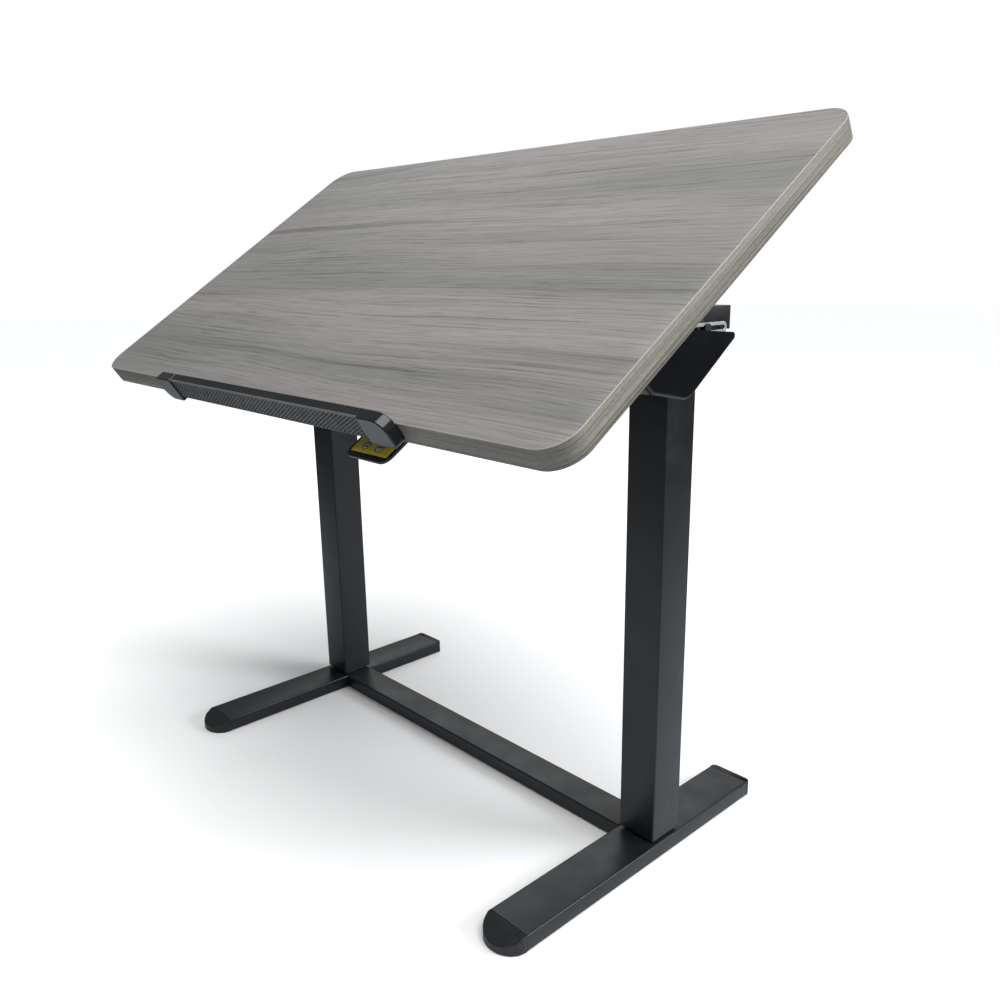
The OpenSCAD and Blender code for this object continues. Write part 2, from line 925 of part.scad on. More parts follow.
// Moulded end cap, deeper than the rail. One cap serves both ends, turned upside down on the
// left, so its large round corner is at the top right and at the bottom left.
module ledge_cap_at(side) {
    outer = ledge_len / 2;
    low = -24;
    high = ledge_top + 0.8;
    lower_r = side < 0 ? 20 : 5;
    upper_r = side < 0 ? 5 : 20;
    color([0.24, 0.25, 0.26])
        on_top()
            translate([ledge_shift, front_v, surface_n])
                mirror([side < 0 ? 1 : 0, 0, 0])
                    difference() {
                        intersection() {
                            extrude_x(outer - ledge_cap_len, ledge_cap_len)
                                polygon(rounded([[0, low], [0, high], [-16, high], [-16, low]],
                                    [0, 0, 7, 3]));
                            rotate([90, 0, 0])
                                linear_extrude(height = 20)
                                    polygon(rounded([[0, low], [outer, low], [outer, high], [0, high]],
                                        [0, lower_r, upper_r, 0], 12));
                        }
                        extrude_x(outer - ledge_cap_len - eps, 30)
                            ledge_channel();
                    }
}

// U-shaped bracket that carries the paddle's pin and stops the cable's jacket.
module paddle_bracket() {
    half = paddle_w / 2 + 1;
    ear_t = 3;
    rear_v = ferrule_v;
    plate_v = paddle_pivot_v - 8;
    color(black)
        on_top()
            translate([paddle_x, 0, 0])
                difference() {
                    union() {
                        translate([-half - ear_t, plate_v, hinge_drop - flange_t])
                            cube([2 * (half + ear_t), rear_v - plate_v + 3, flange_t]);
                        for (x = [-half - ear_t, half])
                            translate([x, plate_v, paddle_pivot_n - 7])
                                cube([ear_t, 16, hinge_drop - paddle_pivot_n + 7]);
                        translate([-9, rear_v, wire_n - 6])
                            cube([18, 3, hinge_drop - wire_n + 6]);
                        translate([0, 0, wire_n])
                            rod_y(3.5, rear_v - 12, 17);
                    }
                    translate([0, paddle_pivot_v, paddle_pivot_n])
                        rod_x(paddle_pin_r, -paddle_w, 2 * paddle_w);
                    translate([0, 0, wire_n])
                        rod_y(1.8, rear_v - 13, 16);
                    translate([-paddle_x, 0, 0])
                        for (p = paddle_screws())
                            translate([p[0], p[1], hinge_drop - flange_t - eps])
                                cylinder(r = 2, h = 2 * flange_t);
                }
}

module paddle_pin() {
    color(zinc)
        on_top()
            translate([paddle_x, paddle_pivot_v, paddle_pivot_n])
                rod_x(paddle_pin_r, -paddle_w / 2 - 5, paddle_w + 10);
}

module desk_cable() {
    color([0.06, 0.06, 0.06])
        on_top()
            sweep(spline(DESK_ROUTE, ROUTE_STEPS), cable_r);
}

// Cable clip: a saddle over the cable with a foot against the top.
module cable_clips() {
    clip = clip_points()[0];
    color(plastic)
        on_top()
            difference() {
                translate([paddle_x - 6, clip[1] - 5, 20])
                    cube([20, 10, hinge_drop - 20]);
                translate([paddle_x, 0, 25])
                    rod_y(cable_r + 0.4, clip[1] - 10, 20);
                translate([clip[0] - 5, clip[1] - 6, 19])
                    cube([11, 12, hinge_drop - flange_t - 19]);
                translate([clip[0], clip[1], hinge_drop - flange_t - eps])
                    cylinder(r = 2, h = 2 * flange_t);
            }
}

// ---- stay arms ----

// Flat bar from the pivot on the top down to the slotted guide. In the top's frame it points
// away from the pivot at twice the tilt, because the pivot is as far from the hinge as the
// arm is long.
module stay_arm_at(side) {
    color(satin)
        on_top_at(side)
            translate([0, stay_len, 0])
                rotate([-2 * tilt, 0, 0])
                    difference() {
                        union() {
                            rod_x(stay_h / 2, stay_x, stay_t);
                            translate([stay_x, 0, -stay_h / 2])
                                cube([stay_t, stay_len, stay_h]);
                            translate([0, stay_len, 0]) {
                                rod_x(stay_h / 2, stay_x, stay_t);
                                rod_x(slide_pin_r, stay_x + stay_t, guide_x + guide_t + 2.6 - stay_x - stay_t);
                                rod_x(6.5, guide_x + guide_t + 0.4, 2.2);
                            }
                        }
                        rod_x(slide_pin_r + fit, stay_x - eps, stay_t + 2 * eps);
                    }
}

// ---- release paddle ----

module release_paddle() {
    plate_n = paddle_pivot_n + 1.5 - paddle_t;
    half = paddle_w / 2;
    color([0.07, 0.07, 0.075])
        on_top()
            translate([paddle_x, 0, 0])
                difference() {
                    union() {
                        translate([0, 0, plate_n])
                            linear_extrude(height = paddle_t)
                                polygon(rounded(
                                    [[-half, paddle_pivot_v], [-half, paddle_front_v],
                                     [half, paddle_front_v], [half, paddle_pivot_v]], [0, 12, 12, 0]));
                        translate([0, paddle_pivot_v, paddle_pivot_n])
                            rod_x(6, -half, paddle_w);
                        translate([-3, paddle_pivot_v - 4, wire_n - 4])
                            cube([6, 8, arm_len + 4]);
                        translate([0, 0, wire_n])
                            rod_y(wire_r, paddle_pivot_v, 12);
                    }
                    translate([0, paddle_pivot_v, paddle_pivot_n])
                        rod_x(paddle_pin_r + fit, -paddle_w, 2 * paddle_w);
                }
}

module paddle_label() {
    label_w = 68;
    label_d = 40;
    color([0.85, 0.74, 0.15])
        on_top()
            translate([paddle_x - label_w / 2, paddle_front_v + 8, paddle_pivot_n + 1.5])
                cube([label_w, label_d, 0.4]);
}

foot_at(-1);  // foot_left
foot_at(1);  // foot_right
front_cap_at(-1);  // front_cap_left
front_cap_at(1);  // front_cap_right
rear_cap_at(-1);  // rear_cap_left
rear_cap_at(1);  // rear_cap_right
glide_pads();
crossbar();
crossbar_bolts();
base_plates();
base_plate_bolts();
inner_column_at(-1);  // inner_column_left
inner_column_at(1);  // inner_column_right
inner_slides();
gas_cylinder_at(-1);  // gas_cylinder_left
gas_cylinder_at(1);  // gas_cylinder_right
outer_column_at(-1);  // outer_column_left
outer_column_at(1);  // outer_column_right
guide_collars();
gas_rod_at(-1);  // gas_rod_left
gas_rod_at(1);  // gas_rod_right
release_block_at(-1);  // release_block_left
release_block_at(1);  // release_block_right
saddle_at(-1);  // saddle_left
saddle_at(1);  // saddle_right
side_rail_at(-1);  // side_rail_left
side_rail_at(1);  // side_rail_right
rail_end_caps();
rest_bumpers();
beam_at(beam_ys[0]);  // front_beam
beam_at(beam_ys[1]);  // rear_beam
beam_bolts();
hinge_pins();
slide_guide_at(-1);  // slide_guide_left
slide_guide_at(1);  // slide_guide_right
shaft_bushes();
cable_adjuster();
cable_anchor();
frame_cable();
release_shaft();
release_pins();
desktop_board();
top_laminate();
edge_band();
hinge_bracket_at(-1);  // hinge_bracket_left
hinge_bracket_at(1);  // hinge_bracket_right
stay_pivot_pins();
desktop_screws();
ledge_rail();
ledge_strip();
ledge_cap_at(-1);  // ledge_cap_left
ledge_cap_at(1);  // ledge_cap_right
paddle_bracket();
paddle_pin();
desk_cable();
cable_clips();
stay_arm_at(-1);  // stay_arm_left
stay_arm_at(1);  // stay_arm_right
release_paddle();
paddle_label();
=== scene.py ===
"""Looks of the height adjustable standing desk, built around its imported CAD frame.

The columns, feet, saddles, top, ledge and cables are rebuilt as finished pieces that replace
their CAD solids. The rest of the CAD nodes stay and get bevels and materials.
Lengths are metres, and outlines and routes listed in millimetres are scaled by MM. The top has
its own frame: x, then v up the slope, then n out of it.
"""
import json
import math

import bmesh
import bpy
from mathutils import Matrix, Vector


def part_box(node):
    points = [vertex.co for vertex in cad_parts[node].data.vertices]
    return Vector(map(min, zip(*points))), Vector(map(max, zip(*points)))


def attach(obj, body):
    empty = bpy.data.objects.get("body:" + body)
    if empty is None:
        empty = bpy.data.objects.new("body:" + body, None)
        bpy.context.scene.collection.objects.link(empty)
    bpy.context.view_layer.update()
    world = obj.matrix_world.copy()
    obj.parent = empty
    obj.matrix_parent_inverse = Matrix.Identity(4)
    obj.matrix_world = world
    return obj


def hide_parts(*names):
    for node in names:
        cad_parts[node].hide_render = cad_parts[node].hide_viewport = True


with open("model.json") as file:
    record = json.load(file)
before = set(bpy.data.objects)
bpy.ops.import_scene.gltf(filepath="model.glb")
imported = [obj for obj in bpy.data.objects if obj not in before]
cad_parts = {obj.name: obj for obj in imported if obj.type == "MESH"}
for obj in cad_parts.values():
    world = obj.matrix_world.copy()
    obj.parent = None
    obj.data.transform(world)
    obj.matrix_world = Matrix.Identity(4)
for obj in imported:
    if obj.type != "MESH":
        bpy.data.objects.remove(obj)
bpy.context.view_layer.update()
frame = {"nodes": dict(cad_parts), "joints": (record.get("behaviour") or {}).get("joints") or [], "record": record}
MM = 0.001
X, Y, Z = range(3)

JOINTS = {j["name"]: j for j in frame["joints"]}
MOUNTS = {m["name"]: m for m in frame["record"]["mounts"]}
HINGE = Vector(JOINTS["tilt"]["pos_m"])
TOP_AXIS = MOUNTS["work_surface"]["axis"]
TILT = math.atan2(-TOP_AXIS[1], TOP_AXIS[2])
TOP_FRAME = Matrix.Translation(HINGE) @ Matrix.Rotation(TILT, 4, "X")
TO_TOP = TOP_FRAME.inverted()


def top_box(*nodes):
    """Lowest and highest corners of CAD nodes in the top's own frame."""
    points = [TO_TOP @ v.co for n in nodes for v in frame["nodes"][n].data.vertices]
    low = Vector([min(p[i] for p in points) for i in range(3)])
    high = Vector([max(p[i] for p in points) for i in range(3)])
    return low, high


# ---------------------------------------------------------------- camera, lights, floor

def add_camera():
    """The view from the right front, a little above the level top's height."""
    place = Vector((1.0652, -0.8420, 0.8067))
    yaw, pitch, roll = math.radians(47.08), math.radians(-14.82), math.radians(-0.83)
    ahead = Vector((-math.sin(yaw) * math.cos(pitch), math.cos(yaw) * math.cos(pitch), math.sin(pitch)))
    right = Vector((math.cos(yaw), math.sin(yaw), 0))
    up = right.cross(ahead)
    right, up = (math.cos(roll) * right + math.sin(roll) * up, -math.sin(roll) * right + math.cos(roll) * up)
    data = bpy.data.cameras.new("camera")
    data.lens = 32.98
    data.sensor_width = 36
    data.clip_start = 0.05
    camera = bpy.data.objects.new("camera", data)
    bpy.context.scene.collection.objects.link(camera)
    turn = Matrix((right, up, -ahead)).transposed().to_4x4()
    camera.matrix_world = Matrix.Translation(place) @ turn
    bpy.context.scene.camera = camera


def area_light(name, place, target, size, power, tint=(1, 1, 1)):
    """A rectangular light at place, turned to target."""
    data = bpy.data.lights.new(name, "AREA")
    data.shape = "RECTANGLE"
    data.size, data.size_y = size
    data.energy = power
    data.color = tint
    light = bpy.data.objects.new(name, data)
    bpy.context.scene.collection.objects.link(light)
    aim = Vector(target) - Vector(place)
    light.matrix_world = Matrix.Translation(place) @ aim.to_track_quat("-Z", "Y").to_matrix().to_4x4()


def add_sky():
    """A dim grey room for the light, with a white backdrop behind the desk."""
    world = bpy.data.worlds.new("studio")
    world.use_nodes = True
    nodes, links = world.node_tree.nodes, world.node_tree.links
    room = nodes["Background"]
    room.inputs["Color"].default_value = (0.93, 0.97, 1.0, 1)
    room.inputs["Strength"].default_value = 0.17
    backdrop = nodes.new("ShaderNodeBackground")
    backdrop.inputs["Color"].default_value = (1, 1, 1, 1)
    choice = nodes.new("ShaderNodeMixShader")
    path = nodes.new("ShaderNodeLightPath")
    links.new(path.outputs["Is Camera Ray"], choice.inputs["Fac"])
    links.new(room.outputs["Background"], choice.inputs[1])
    links.new(backdrop.outputs["Background"], choice.inputs[2])
    links.new(choice.outputs["Shader"], nodes["World Output"].inputs["Surface"])
    bpy.context.scene.world = world


def add_sun():
    """A very wide, soft overhead light from the upper right."""
    data = bpy.data.lights.new("overhead", "SUN")
    data.energy = 3.2
    data.angle = math.radians(55)
    sun = bpy.data.objects.new("overhead", data)
    sun.matrix_world = Vector((0.42, -0.12, 1)).to_track_quat("Z", "Y").to_matrix().to_4x4()
    bpy.context.scene.collection.objects.link(sun)


def add_floor():
    """Plain pale floor; it sends less light back up than it shows."""
    mesh = bpy.data.meshes.new("floor")
    half = 14
    corners = [(-half, -half, 0), (half, -half, 0), (half, half, 0), (-half, half, 0)]
    mesh.from_pydata(corners, [], [(0, 1, 2, 3)])
    floor = bpy.data.objects.new("floor", mesh)
    bpy.context.scene.collection.objects.link(floor)
    p = Paint("floor_white")
    seen = p.tree.nodes.new("ShaderNodeLightPath").outputs["Is Camera Ray"]
    p.set(Specular_IOR_Level=0.1, Roughness=0.7)
    reach = p.tree.nodes.new("ShaderNodeVectorMath")
    reach.operation = "LENGTH"
    p.link(p.coords, reach.inputs[0])
    lit = p.mix(p.remap(reach.outputs["Value"], 0, 1, 0.5, 2.6), (0.69, 0.73, 0.77), (0.03, 0.03, 0.03))
    p.color_from(p.mix(seen, lit, (0.95, 0.95, 0.95)))
    mesh.materials.append(p.material)


def add_studio():
    """Room light, overhead light, floor, and two area lights aimed at the desk."""
    bpy.context.scene.view_settings.view_transform = "Standard"
    add_sky()
    add_sun()
    add_floor()
    area_light("side", (2.6, 1.6, 1.5), (0.45, 0, 0.75), (1.2, 0.9), 55, (0.97, 0.98, 1.0))
    area_light("rear", (-2.3, 2.6, 2.6), (0, 0, 0.4), (3.0, 2.0), 26)


# ---------------------------------------------------------------- material helpers

class Paint:
    """A node material under construction, with short calls for the nodes used here."""

    def __init__(self, name):
        self.material = bpy.data.materials.new(name)
        self.material.use_nodes = True
        self.tree = self.material.node_tree
        self.shader = self.tree.nodes["Principled BSDF"]
        self.coords = self.tree.nodes.new("ShaderNodeTexCoord").outputs["Object"]

    def set(self, **values):
        for key, value in values.items():
            self.shader.inputs[key.replace("_", " ")].default_value = value

    def link(self, source, target):
        self.tree.links.new(source, target)

    def stretch(self, scale, source=None):
        node = self.tree.nodes.new("ShaderNodeMapping")
        node.inputs["Scale"].default_value = scale
        self.link(source or self.coords, node.inputs["Vector"])
        return node.outputs["Vector"]

    def noise(self, vector, scale, detail=3, rough=0.55):
        node = self.tree.nodes.new("ShaderNodeTexNoise")
        node.inputs["Scale"].default_value = scale
        node.inputs["Detail"].default_value = detail
        node.inputs["Roughness"].default_value = rough
        self.link(vector, node.inputs["Vector"])
        return node.outputs["Fac"]

    def ramp(self, value, stops):
        node = self.tree.nodes.new("ShaderNodeValToRGB")
        ramp = node.color_ramp
        while len(ramp.elements) < len(stops):
            ramp.elements.new(0.5)
        for element, (at, color) in zip(ramp.elements, stops):
            element.position = at
            element.color = (*color, 1) if len(color) == 3 else color
        self.link(value, node.inputs["Fac"])
        return node.outputs["Color"]

    def mix(self, amount, a, b, mode="MIX"):
        node = self.tree.nodes.new("ShaderNodeMix")
        node.data_type = "RGBA"
        node.blend_type = mode
        for value, key in ((amount, "Factor"), (a, "A"), (b, "B")):
            sockets = [s for s in node.inputs if s.name == key and s.enabled]
            if isinstance(value, (int, float)):
                sockets[0].default_value = value
            elif isinstance(value, tuple):
                sockets[0].default_value = (*value, 1)
            else:
                self.link(value, sockets[0])
        return [s for s in node.outputs if s.name == "Result" and s.enabled][0]

    def math(self, kind, a, b):
        node = self.tree.nodes.new("ShaderNodeMath")
        node.operation = kind
        for value, socket in zip((a, b), node.inputs):
            if isinstance(value, (int, float)):
                socket.default_value = value
            else:
                self.link(value, socket)
        return node.outputs["Value"]

    def remap(self, value, low, high, source_low=0.3, source_high=0.7):
        node = self.tree.nodes.new("ShaderNodeMapRange")
        node.inputs["From Min"].default_value = source_low
        node.inputs["From Max"].default_value = source_high
        node.inputs["To Min"].default_value = low
        node.inputs["To Max"].default_value = high
        self.link(value, node.inputs["Value"])
        return node.outputs["Result"]

    def bump(self, height, strength, distance):
        node = self.tree.nodes.new("ShaderNodeBump")
        node.inputs["Strength"].default_value = strength
        node.inputs["Distance"].default_value = distance
        self.link(height, node.inputs["Height"])
        self.link(node.outputs["Normal"], self.shader.inputs["Normal"])

    def color_from(self, socket):
        self.link(socket, self.shader.inputs["Base Color"])

    def roughness_from(self, socket):
        self.link(socket, self.shader.inputs["Roughness"])


def powder_coat(name, dark, light, rough=(0.30, 0.42), peel=0.05):
    """Satin powder coat: fine orange peel, faint cloudiness."""
    p = Paint(name)
    p.set(Specular_IOR_Level=0.4)
    cloud = p.noise(p.coords, 9, 4)
    p.color_from(p.ramp(cloud, [(0.3, dark), (0.7, light)]))
    p.roughness_from(p.remap(p.noise(p.coords, 26, 3), *rough))
    p.bump(p.noise(p.coords, 1400, 2), peel, 0.0003)
    return p.material


def moulded_plastic(name, dark, light, rough=(0.42, 0.55), grain=0.12):
    """Moulded plastic with a fine spark-eroded grain."""
    p = Paint(name)
    p.color_from(p.ramp(p.noise(p.coords, 14, 3), [(0.3, dark), (0.7, light)]))
    p.roughness_from(p.remap(p.noise(p.coords, 90, 2), *rough))
    p.bump(p.noise(p.coords, 2600, 1), grain, 0.0002)
    return p.material


def plated_metal(name, dark, light, rough=(0.22, 0.4)):
    """Zinc or chrome plate with faint drawing lines and cloudiness."""
    p = Paint(name)
    p.set(Metallic=1.0)
    p.color_from(p.ramp(p.noise(p.coords, 60, 4), [(0.3, dark), (0.7, light)]))
    p.roughness_from(p.remap(p.noise(p.stretch((40, 900, 900)), 1, 3), *rough))
    p.bump(p.noise(p.stretch((60, 1600, 1600)), 1, 2), 0.06, 0.0002)
    return p.material


def rubber(name):
    """Dull black rubber with a fine matt grain."""
    p = Paint(name)
    p.color_from(p.ramp(p.noise(p.coords, 40, 3), [(0.3, (0.02, 0.02, 0.02)), (0.7, (0.032, 0.032, 0.032))]))
    p.roughness_from(p.remap(p.noise(p.coords, 200, 2), 0.7, 0.85))
    p.bump(p.noise(p.coords, 1800, 2), 0.2, 0.0002)
    return p.material


def laminate():
    """Grey-taupe wood print along the width: soft bands, long thin dark streaks, fine pores."""
    p = Paint("laminate_grain")
    p.set(Specular_IOR_Level=0.35)
    drift = p.noise(p.stretch((1.1, 3.2, 1)), 1, 2)
    shift = p.tree.nodes.new("ShaderNodeCombineXYZ")
    p.link(p.math("MULTIPLY", p.math("SUBTRACT", drift, 0.5), 0.07), shift.inputs["Y"])
    waved = p.tree.nodes.new("ShaderNodeVectorMath")
    waved.operation = "ADD"
    p.link(p.coords, waved.inputs[0])
    p.link(shift.outputs["Vector"], waved.inputs[1])
    along = waved.outputs["Vector"]
    bands = p.noise(p.stretch((0.6, 9, 1), source=along), 1, 2, 0.5)
    streaks = p.noise(p.stretch((0.8, 52, 1), source=along), 1, 3, 0.60)
    threads = p.noise(p.stretch((2.2, 260, 1), source=along), 1, 3, 0.65)
    fine = p.noise(p.stretch((14, 620, 1), source=along), 1, 3, 0.65)
    base = p.ramp(bands, [(0.34, (0.240, 0.238, 0.229)), (0.46, (0.280, 0.274, 0.264)),
                          (0.56, (0.325, 0.305, 0.297)), (0.68, (0.352, 0.334, 0.324))])
    dark = p.ramp(streaks, [(0.30, (0.58, 0.58, 0.59)), (0.38, (0.88, 0.88, 0.88)),
                            (0.48, (1.00, 1.00, 1.00)), (0.72, (1.04, 1.04, 1.04))])
    lines = p.ramp(threads, [(0.30, (0.42, 0.42, 0.42)), (0.42, (0.90, 0.90, 0.90)),
                             (0.66, (1.10, 1.10, 1.10))])
    pores = p.ramp(fine, [(0.30, (0.50, 0.50, 0.50)), (0.45, (0.98, 0.98, 0.98)), (0.72, (1.12, 1.12, 1.12))])
    mixed = p.mix(0.85, base, dark, "MULTIPLY")
    mixed = p.mix(0.75, mixed, lines, "MULTIPLY")
    mixed = p.mix(0.8, mixed, pores, "MULTIPLY")
    p.color_from(mixed)
    p.roughness_from(p.remap(fine, 0.66, 0.50))
    p.bump(p.math("ADD", p.math("MULTIPLY", threads, 0.6), fine), 0.25, 0.0005)
    return p.material


def edge_veneer():
    """Edge band printed like the end of a ply sheet: thin wavering lines, olive-grey, and a painted highlight
    along its top rim.
    """
    p = Paint("edge_ply")
    p.set(Specular_IOR_Level=0.35)
    layers = p.noise(p.stretch((1.6, 1.6, 420)), 1, 3, 0.6)
    lines = p.noise(p.stretch((4, 4, 760)), 1, 3, 0.6)
    dashes = p.noise(p.stretch((170, 170, 1700)), 1, 2, 0.6)
    base = p.ramp(layers, [(0.30, (0.100, 0.092, 0.074)), (0.42, (0.195, 0.183, 0.154)),
                           (0.55, (0.262, 0.248, 0.212)), (0.70, (0.330, 0.315, 0.272))])
    thin = p.ramp(lines, [(0.34, (0.30, 0.29, 0.27)), (0.43, (0.82, 0.82, 0.80)), (0.66, (1.16, 1.16, 1.16))])
    flecks = p.ramp(dashes, [(0.34, (0.60, 0.59, 0.57)), (0.5, (1, 1, 1)), (0.7, (1.12, 1.12, 1.12))])
    printed = p.mix(0.8, p.mix(0.85, base, thin, "MULTIPLY"), flecks, "MULTIPLY")
    height = p.tree.nodes.new("ShaderNodeSeparateXYZ")
    p.link(p.coords, height.inputs["Vector"])
    # Painted highlight: a pale colour mixed in along the band's top rim, standing in for light on the rounded top
    # edge.
    rim = p.remap(height.outputs["Z"], 0.0, 0.45, 0.0577, 0.0586)
    p.color_from(p.mix(rim, printed, (0.58, 0.56, 0.51)))
    p.roughness_from(p.remap(lines, 0.42, 0.58))
    p.bump(lines, 0.3, 0.0004)
    return p.material


def underside_foil():
    """Plain balancing foil on the underside of the board."""
    p = Paint("board_foil")
    grain = p.noise(p.stretch((4, 120, 120)), 1, 3)
    p.color_from(p.ramp(grain, [(0.3, (0.19, 0.18, 0.17)), (0.7, (0.25, 0.24, 0.23))]))
    p.roughness_from(p.remap(grain, 0.5, 0.65))
    p.bump(p.noise(p.coords, 900, 2), 0.1, 0.0003)
    return p.material


MATERIALS = {}


def make_materials():
    """Fills MATERIALS with one material for each slot and finish."""
    MATERIALS.update(
        frame_paint=powder_coat("frame_black", (0.0075, 0.0088, 0.0105), (0.0100, 0.0118, 0.0140)),
        tray_paint=powder_coat("tray_black", (0.0050, 0.0056, 0.0072), (0.0062, 0.0070, 0.0090),
                               (0.17, 0.23), 0.03),
        top_grip=moulded_plastic("grip_top", (0.012, 0.0125, 0.0135), (0.020, 0.0205, 0.022), (0.40, 0.52)),
        # The ledge's top front ridge: the ledge metal, made a lighter grey as a painted highlight on that edge.
        ridge_metal=powder_coat("ridge_grey_painted_highlight", (0.16, 0.165, 0.17), (0.20, 0.205, 0.21), (0.20, 0.28)),
        inner_paint=powder_coat("inner_grey", (0.035, 0.037, 0.040), (0.048, 0.050, 0.054), (0.25, 0.35)),
        black_plastic=moulded_plastic("cap_black", (0.0045, 0.0050, 0.0060), (0.0070, 0.0078, 0.0092)),
        slide_plastic=moulded_plastic("slide_white", (0.70, 0.70, 0.67), (0.80, 0.80, 0.77)),
        rubber=rubber("rubber_black"),
        zinc=plated_metal("zinc_plate", (0.62, 0.63, 0.66), (0.86, 0.87, 0.89)),
        guide_zinc=plated_metal("guide_zinc", (0.52, 0.53, 0.55), (0.62, 0.63, 0.65), (0.36, 0.44)),
        rod_chrome=plated_metal("chrome_rod", (0.75, 0.76, 0.78), (0.86, 0.87, 0.88), (0.06, 0.12)),
        cast_block=powder_coat("cast_grey", (0.14, 0.142, 0.145), (0.22, 0.222, 0.226), (0.45, 0.62), 0.3),
        board_core=underside_foil(),
        laminate=laminate(),
        band=edge_veneer(),
        ledge_metal=powder_coat("ledge_grey", (0.070, 0.073, 0.078), (0.088, 0.091, 0.096), (0.24, 0.34)),
        grip=moulded_plastic("grip_strip", (0.010, 0.0105, 0.012), (0.015, 0.0155, 0.017), (0.34, 0.46)),
        cap_gloss=moulded_plastic("ledge_cap_grey", (0.011, 0.012, 0.014), (0.015, 0.016, 0.018),
                                  (0.14, 0.20), 0.02),
        paddle_plastic=moulded_plastic("paddle_black", (0.009, 0.009, 0.010), (0.014, 0.014, 0.016),
                                       (0.32, 0.42)),
        label=moulded_plastic("label_yellow", (0.76, 0.60, 0.03), (0.88, 0.72, 0.06), (0.30, 0.40), 0.02),
        cable_jacket=moulded_plastic("jacket_black", (0.010, 0.010, 0.011), (0.018, 0.018, 0.020),
                                     (0.35, 0.5)),
    )


# ---------------------------------------------------------------- mesh helpers

def add_piece(name, points, faces, slot, body, replaced=(), place=None, bevel=0.0, steps=2, angle=30):
    """A mesh piece in the desk's frame, or in the frame given by place, that moves with a body."""
    mesh = bpy.data.meshes.new(name)
    mesh.from_pydata([tuple(p) for p in points], [], faces)
    mesh.validate()
    bm = bmesh.new()
    bm.from_mesh(mesh)
    bmesh.ops.remove_doubles(bm, verts=bm.verts, dist=1e-6)
    bmesh.ops.recalc_face_normals(bm, faces=bm.faces)
    bm.to_mesh(mesh)
    bm.free()
    piece = bpy.data.objects.new(name, mesh)
    bpy.context.scene.collection.objects.link(piece)
    if place is not None:
        piece.matrix_world = place
    mesh.materials.append(MATERIALS[slot])
    finish_edges(piece, bevel, steps, angle)
    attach(piece, body)
    if replaced:
        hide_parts(*replaced)
    return piece


def finish_edges(piece, bevel, steps=2, angle=30):
    """Rounds sharp edges and smooths the rest."""
    for polygon in piece.data.polygons:
        polygon.use_smooth = True
    if bevel:
        modifier = piece.modifiers.new("edges", "BEVEL")
        modifier.width = bevel
        modifier.segments = steps
        modifier.limit_method = "ANGLE"
        modifier.angle_limit = math.radians(angle)
        modifier.use_clamp_overlap = False
        modifier.harden_normals = True


def arc(centre, radius, start, stop, steps):
    """Points on an arc, angles in degrees."""
    return [
        (centre[0] + radius * math.cos(math.radians(start + (stop - start) * k / steps)),
         centre[1] + radius * math.sin(math.radians(start + (stop - start) * k / steps)))
        for k in range(steps + 1)
    ]


def rounded_rect(x0, y0, x1, y1, radius, steps=8):
    """Outline of a rounded rectangle, counter-clockwise."""
    corners = [((x1 - radius, y0 + radius), -90), ((x1 - radius, y1 - radius), 0),
               ((x0 + radius, y1 - radius), 90), ((x0 + radius, y0 + radius), 180)]
    return [p for centre, start in corners for p in arc(centre, radius, start, start + 90, steps)]


CORNER_STEPS = 8


def fillet(outline, radii, steps=CORNER_STEPS):
    """Rounds the corners of a closed outline, each with its own radius; 0 keeps a corner sharp."""
    points = []
    count = len(outline)
    for i, radius in enumerate(radii):
        here = Vector(outline[i])
        back = (Vector(outline[i - 1]) - here).normalized()
        ahead = (Vector(outline[(i + 1) % count]) - here).normalized()
        if radius == 0:
            points.append(here)
            continue
        half = back.angle(ahead) / 2
        centre = here + (back + ahead).normalized() * radius / math.sin(half)
        start = here + back * radius / math.tan(half) - centre
        finish = here + ahead * radius / math.tan(half) - centre
        turn = math.pi - 2 * half
        for k in range(steps + 1):
            s = k / steps
            spoke = start * math.sin(turn * (1 - s)) + finish * math.sin(turn * s)
            points.append(centre + spoke / math.sin(turn))
    return [tuple(p) for p in points]


def loft(loops, closed=False):
    """Points and faces of a skin through loops with equal counts; its ends are capped unless closed."""
    size = len(loops[0])
    points = [p for loop in loops for p in loop]
    faces = []
    last = len(loops) if closed else len(loops) - 1
    for i in range(last):
        j = (i + 1) % len(loops)
        for k in range(size):
            m = (k + 1) % size
            faces.append((i * size + k, i * size + m, j * size + m, j * size + k))
    if not closed:
        faces.append(tuple(reversed(range(size))))
        faces.append(tuple((len(loops) - 1) * size + k for k in range(size)))
    return points, faces


def tube_loops(outer, inner, start, stop, to_space):
    """Four loops that close into a hollow tube between start and stop."""
    return [
        [to_space(a, b, start) for a, b in outer],
        [to_space(a, b, stop) for a, b in outer],
        [to_space(a, b, stop) for a, b in inner],
        [to_space(a, b, start) for a, b in inner],
    ]


def steel_tube(name, node, along, radius, wall, slot, body):
    """A rolled steel tube with rounded corners in the box of a CAD node."""
    low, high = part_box(node)
    a, b = [i for i in range(3) if i != along]

    def to_space(p, q, r):
        point = Vector((0, 0, 0))
        point[a], point[b], point[along] = p, q, r
        return point

    outer = rounded_rect(low[a], low[b], high[a], high[b], radius, 6)
    inner = rounded_rect(low[a] + wall, low[b] + wall, high[a] - wall, high[b] - wall, radius - wall * 0.6, 6)
    points, faces = loft(tube_loops(outer, inner, low[along], high[along], to_space), closed=True)
    add_piece(name, points, faces, slot, body, (node,), bevel=0.6 * MM, angle=50)


# ---------------------------------------------------------------- base and columns

